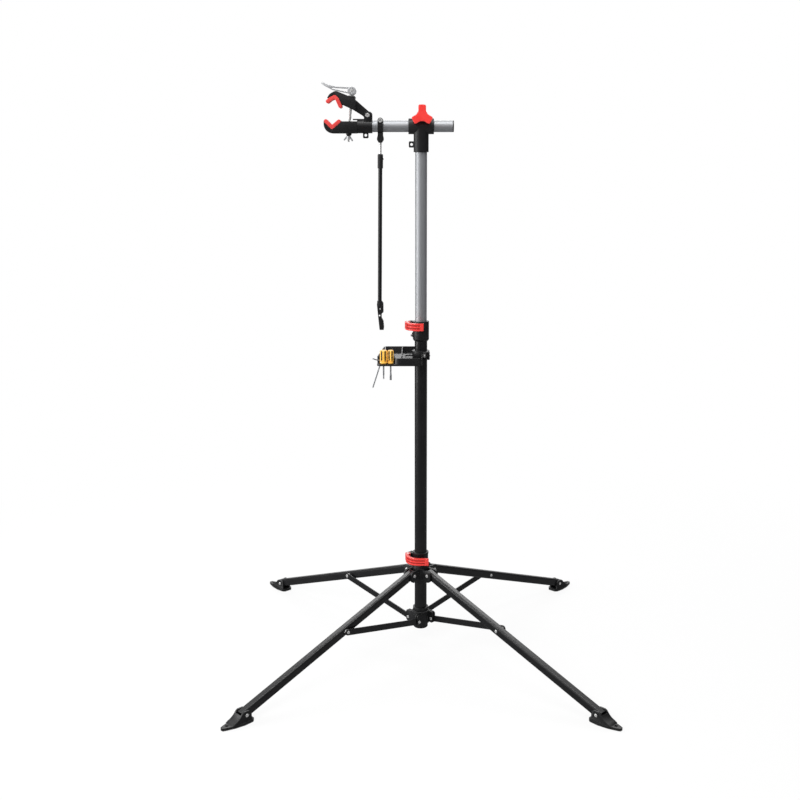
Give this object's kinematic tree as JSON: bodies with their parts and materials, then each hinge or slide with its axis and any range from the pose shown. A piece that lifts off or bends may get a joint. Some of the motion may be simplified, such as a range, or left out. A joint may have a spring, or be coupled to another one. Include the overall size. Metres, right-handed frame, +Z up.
{
  "type": "bicycle repair stand",
  "caption": "Folding repair stand for bicycles: braced four-leg base, telescoping mast, cross arm with clamp jaws and cam lever, handlebar rod and tool tray.",
  "frame": {"origin": "on the floor, on the axis of the mast, midway between the four feet", "axes": "+Z up along the mast, +X from the clamp jaws towards the plain end of the arm, +Y away from a person who faces the knob"},
  "size_m": [1.1038, 1.1038, 1.7473],
  "materials": {
    "black_steel": "satin black powder coat",
    "black_plastic": "matt black moulding",
    "black_rubber": "matt black rubber",
    "silver_tube": "satin anodised",
    "cast_silver": "cast, lightly polished",
    "bright_steel": "bright zinc plate",
    "zinc": "bright zinc plate",
    "tool_steel": "dull grey",
    "red_plastic": "semi gloss red",
    "red_pad": "soft matt red",
    "yellow_plastic": "clear amber yellow"
  },
  "bodies": {
    "mast_base": {"lower_mast_tube": "black_steel", "lower_hub": "black_plastic", "lower_hub_rivets": "zinc", "mast_collar": "black_plastic", "collar_clamp_bolt": "bright_steel", "collar_guide_screw": "zinc"},
    "sliding_hub": {"sliding_hub": "black_plastic", "sliding_hub_rivets": "zinc", "hub_clamp_bolt": "bright_steel"},
    "hub_lever": {"hub_lever": "red_plastic"},
    "collar_lever": {"collar_lever": "red_plastic"},
    "leg_front_left": {"leg_front_left": "black_steel", "leg_front_left_rivets": "zinc"},
    "brace_front_left": {"brace_front_left": "black_steel", "brace_front_left_rivet": "zinc"},
    "foot_front_left": {"foot_front_left": "black_plastic"},
    "leg_front_right": {"leg_front_right": "black_steel", "leg_front_right_rivets": "zinc"},
    "brace_front_right": {"brace_front_right": "black_steel", "brace_front_right_rivet": "zinc"},
    "foot_front_right": {"foot_front_right": "black_plastic"},
    "leg_back_left": {"leg_back_left": "black_steel", "leg_back_left_rivets": "zinc"},
    "brace_back_left": {"brace_back_left": "black_steel", "brace_back_left_rivet": "zinc"},
    "foot_back_left": {"foot_back_left": "black_plastic"},
    "leg_back_right": {"leg_back_right": "black_steel", "leg_back_right_rivets": "zinc"},
    "brace_back_right": {"brace_back_right": "black_steel", "brace_back_right_rivet": "zinc"},
    "foot_back_right": {"foot_back_right": "black_plastic"},
    "tool_tray": {"tool_tray": "black_plastic", "tray_clamp_bolt": "bright_steel"},
    "driver_left": {"driver_left_handle": "yellow_plastic", "driver_left_shaft": "tool_steel"},
    "driver_right": {"driver_right_handle": "yellow_plastic", "driver_right_shaft": "tool_steel"},
    "hex_key": {"hex_key": "tool_steel"},
    "glide_plug": {"glide_plug": "black_plastic"},
    "upper_mast": {"upper_mast_tube": "silver_tube", "tee": "black_plastic"},
    "tee_knob": {"tee_knob": "red_plastic"},
    "arm": {"arm_tube": "silver_tube", "arm_end_cap": "black_plastic"},
    "clamp_head": {"clamp_head": "black_plastic", "lower_jaw_pad": "red_pad", "jaw_hinge_bolt": "zinc"},
    "upper_jaw": {"upper_jaw": "black_plastic", "upper_jaw_pad": "red_pad", "cam_washer": "zinc"},
    "skewer_rod": {"skewer_rod": "bright_steel"},
    "cam_lever": {"cam_lever": "cast_silver"},
    "dome_washer": {"dome_washer": "black_plastic"},
    "wing_nut": {"wing_nut": "cast_silver"},
    "rod_hanger": {"handlebar_strap": "black_rubber", "strap_eyelet": "zinc", "rod_inner": "bright_steel"},
    "rod_tube": {"rod_tube": "black_steel"},
    "rod_lock_sleeve": {"rod_lock_sleeve": "black_rubber"},
    "rod_end_strap": {"rod_end_strap": "black_rubber"}
  },
  "joints": [
    {"name": "hub_slide", "type": "slide", "parent": "mast_base", "child": "sliding_hub", "axis": [0, 0, 1], "range_m": [0, 0.44279]},
    {"name": "leg_fold_front_left", "type": "hinge", "parent": "sliding_hub", "child": "leg_front_left", "pos_m": [-0.03182, -0.03182, 0.255], "axis": [0.7071, -0.7071, 0], "range_deg": [0, 68.75]},
    {"name": "leg_fold_front_right", "type": "hinge", "parent": "sliding_hub", "child": "leg_front_right", "pos_m": [0.03182, -0.03182, 0.255], "axis": [0.7071, 0.7071, 0], "range_deg": [0, 68.75]},
    {"name": "leg_fold_back_left", "type": "hinge", "parent": "sliding_hub", "child": "leg_back_left", "pos_m": [-0.03182, 0.03182, 0.255], "axis": [-0.7071, -0.7071, 0], "range_deg": [0, 68.75]},
    {"name": "leg_fold_back_right", "type": "hinge", "parent": "sliding_hub", "child": "leg_back_right", "pos_m": [0.03182, 0.03182, 0.255], "axis": [-0.7071, 0.7071, 0], "range_deg": [0, 68.75]},
    {"name": "brace_fold_front_left", "type": "hinge", "parent": "mast_base", "child": "brace_front_left", "pos_m": [-0.02227, -0.02227, 0.1], "axis": [-0.7071, 0.7071, 0], "range_deg": [0, 74.77]},
    {"name": "brace_fold_front_right", "type": "hinge", "parent": "mast_base", "child": "brace_front_right", "pos_m": [0.02227, -0.02227, 0.1], "axis": [-0.7071, -0.7071, 0], "range_deg": [0, 74.77]},
    {"name": "brace_fold_back_left", "type": "hinge", "parent": "mast_base", "child": "brace_back_left", "pos_m": [-0.02227, 0.02227, 0.1], "axis": [0.7071, 0.7071, 0], "range_deg": [0, 74.77]},
    {"name": "brace_fold_back_right", "type": "hinge", "parent": "mast_base", "child": "brace_back_right", "pos_m": [0.02227, 0.02227, 0.1], "axis": [0.7071, -0.7071, 0], "range_deg": [0, 74.77]},
    {"name": "foot_tilt_front_left", "type": "hinge", "parent": "leg_front_left", "child": "foot_front_left", "pos_m": [-0.49497, -0.49497, 0.025], "axis": [0.7071, -0.7071, 0], "range_deg": [-60, 15]},
    {"name": "foot_tilt_front_right", "type": "hinge", "parent": "leg_front_right", "child": "foot_front_right", "pos_m": [0.49497, -0.49497, 0.025], "axis": [0.7071, 0.7071, 0], "range_deg": [-60, 15]},
    {"name": "foot_tilt_back_left", "type": "hinge", "parent": "leg_back_left", "child": "foot_back_left", "pos_m": [-0.49497, 0.49497, 0.025], "axis": [-0.7071, -0.7071, 0], "range_deg": [-60, 15]},
    {"name": "foot_tilt_back_right", "type": "hinge", "parent": "leg_back_right", "child": "foot_back_right", "pos_m": [0.49497, 0.49497, 0.025], "axis": [-0.7071, 0.7071, 0], "range_deg": [-60, 15]},
    {"name": "hub_lever_swing", "type": "hinge", "parent": "sliding_hub", "child": "hub_lever", "pos_m": [-0.04022, 0.01361, 0.3], "axis": [0, 0, -1], "range_deg": [0, 95]},
    {"name": "collar_lever_swing", "type": "hinge", "parent": "mast_base", "child": "collar_lever", "pos_m": [-0.04022, 0.01361, 1.039], "axis": [0, 0, -1], "range_deg": [0, 90]},
    {"name": "mast_slide", "type": "slide", "parent": "mast_base", "child": "glide_plug", "axis": [0, 0, 1], "range_m": [-0.02, 0.25]},
    {"name": "mast_swivel", "type": "hinge", "parent": "glide_plug", "child": "upper_mast", "pos_m": [0, 0, 0.7], "axis": [0, 0, 1], "continuous": true},
    {"name": "knob_spin", "type": "hinge", "parent": "upper_mast", "child": "tee_knob", "pos_m": [0.0027, 0, 1.6531], "axis": [0, -1, 0], "continuous": true},
    {"name": "arm_slide", "type": "slide", "parent": "upper_mast", "child": "arm", "axis": [1, 0, 0], "range_m": [-0.045, 0.045]},
    {"name": "head_turn", "type": "hinge", "parent": "arm", "child": "clamp_head", "pos_m": [-0.16, 0, 1.6235], "axis": [1, 0, 0], "continuous": true},
    {"name": "jaw_hinge", "type": "hinge", "parent": "clamp_head", "child": "upper_jaw", "pos_m": [-0.1552, 0, 1.6549], "axis": [0, 1, 0], "range_deg": [-18, 3]},
    {"name": "skewer_swing", "type": "hinge", "parent": "upper_jaw", "child": "skewer_rod", "pos_m": [-0.1999, 0, 1.7234], "axis": [0, 1, 0], "range_deg": [-1.6, 8.6]},
    {"name": "dome_slide", "type": "slide", "parent": "skewer_rod", "child": "dome_washer", "axis": [-0.0889, 0, -0.996], "range_m": [-0.0173, 0.0032]},
    {"name": "wing_nut_spin", "type": "hinge", "parent": "dome_washer", "child": "wing_nut", "pos_m": [-0.21134, 0, 1.59523], "axis": [0.0889, 0, 0.996], "continuous": true},
    {"name": "cam_flip", "type": "hinge", "parent": "skewer_rod", "child": "cam_lever", "pos_m": [-0.1999, 0, 1.7234], "axis": [0, 1, 0], "range_deg": [0, 100]},
    {"name": "rod_swing", "type": "hinge", "parent": "arm", "child": "rod_hanger", "pos_m": [-0.1184, 0, 1.6235], "axis": [1, 0, 0], "continuous": true},
    {"name": "rod_slide", "type": "slide", "parent": "rod_hanger", "child": "rod_tube", "axis": [-0.0105, 0, -0.9999], "range_m": [-0.03, 0.025]},
    {"name": "lock_sleeve_turn", "type": "hinge", "parent": "rod_tube", "child": "rod_lock_sleeve", "pos_m": [-0.11945, 0, 1.52351], "axis": [-0.0105, 0, -0.9999], "continuous": true},
    {"name": "end_strap_turn", "type": "hinge", "parent": "rod_tube", "child": "rod_end_strap", "pos_m": [-0.12389, 0, 1.09953], "axis": [-0.0105, 0, -0.9999], "continuous": true},
    {"name": "tray_swivel", "type": "hinge", "parent": "mast_base", "child": "tool_tray", "pos_m": [0, 0, 0.939], "axis": [0, 0, 1], "continuous": true},
    {"name": "driver_left_lift", "type": "slide", "parent": "tool_tray", "child": "driver_left", "axis": [0, 0, 1], "range_m": [0, 0.12]},
    {"name": "driver_right_lift", "type": "slide", "parent": "tool_tray", "child": "driver_right", "axis": [0, 0, 1], "range_m": [0, 0.12]},
    {"name": "hex_key_lift", "type": "slide", "parent": "tool_tray", "child": "hex_key", "axis": [0.3057, 0, 0.9521], "range_m": [0, 0.08]}
  ],
  "couplings": [
    {"joint": "leg_fold_front_left", "follows": "hub_slide", "rad_per_m": 2.706},
    {"joint": "leg_fold_front_right", "follows": "hub_slide", "rad_per_m": 2.706},
    {"joint": "leg_fold_back_left", "follows": "hub_slide", "rad_per_m": 2.706},
    {"joint": "leg_fold_back_right", "follows": "hub_slide", "rad_per_m": 2.706},
    {"joint": "brace_fold_front_left", "follows": "hub_slide", "rad_per_m": 2.9433},
    {"joint": "brace_fold_front_right", "follows": "hub_slide", "rad_per_m": 2.9433},
    {"joint": "brace_fold_back_left", "follows": "hub_slide", "rad_per_m": 2.9433},
    {"joint": "brace_fold_back_right", "follows": "hub_slide", "rad_per_m": 2.9433},
    {"joint": "skewer_swing", "follows": "jaw_hinge", "ratio": -0.463},
    {"joint": "dome_slide", "follows": "jaw_hinge", "m_per_rad": 0.0544}
  ]
}
